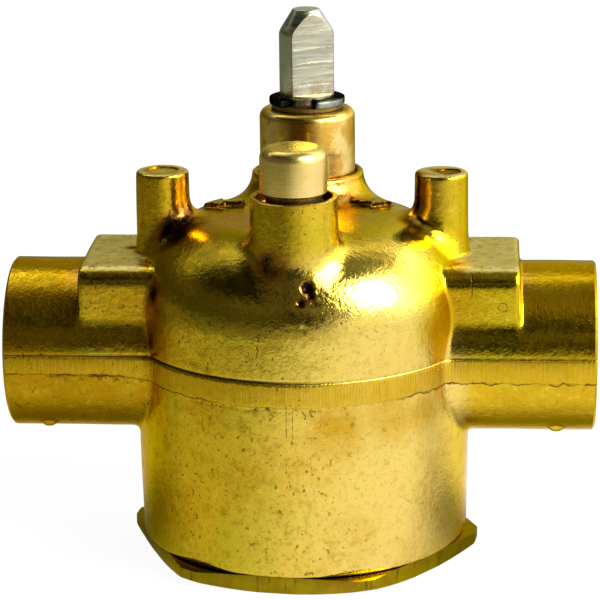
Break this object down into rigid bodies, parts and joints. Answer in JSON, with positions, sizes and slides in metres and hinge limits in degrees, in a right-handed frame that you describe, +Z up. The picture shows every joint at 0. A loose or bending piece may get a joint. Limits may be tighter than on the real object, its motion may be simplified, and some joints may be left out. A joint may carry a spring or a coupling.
{
  "type": "three way valve",
  "caption": "Forged brass three way zone valve with in-line sweat ends, a third port in its hexagonal bottom plug, and a stem that swings a rubber ball between the two seats.",
  "frame": {"origin": "middle of the bottom plug's flat underside", "axes": "+X from port A to port B, +Y from the latch pin to the stem, +Z up along the stem"},
  "size_m": [0.0666, 0.0388, 0.0608],
  "materials": {
    "forged_brass": "forged and tumbled, lightly tarnished",
    "machined_brass": "turned, satin",
    "steel": "turned and milled",
    "black_steel": "black oxide",
    "bronze": "plain bearing bronze",
    "rubber": "moulded",
    "ptfe": "plain"
  },
  "bodies": {
    "body": {"valve_body": "forged_brass", "bottom_plug": "machined_brass", "plug_o_ring": "rubber", "seat_ring_a": "machined_brass", "seat_ring_b": "machined_brass", "latch_pin": "machined_brass", "stem_sleeve": "machined_brass", "sleeve_gasket": "ptfe", "upper_stem_bush": "bronze", "lower_stem_bush": "bronze"},
    "stem": {"stem": "steel", "upper_stem_o_ring": "rubber", "lower_stem_o_ring": "rubber", "retaining_clip": "black_steel", "clip_washer": "bronze", "thrust_washer": "ptfe", "ball_arm": "machined_brass", "arm_washer": "steel", "arm_screw": "steel", "ball_core": "machined_brass", "seal_ball": "rubber"}
  },
  "joints": [
    {"name": "stem_turn", "type": "hinge", "parent": "body", "child": "stem", "pos_m": [0, 0.01066, 0.0238], "axis": [0, 0, 1], "range_deg": [-54, 0]}
  ]
}
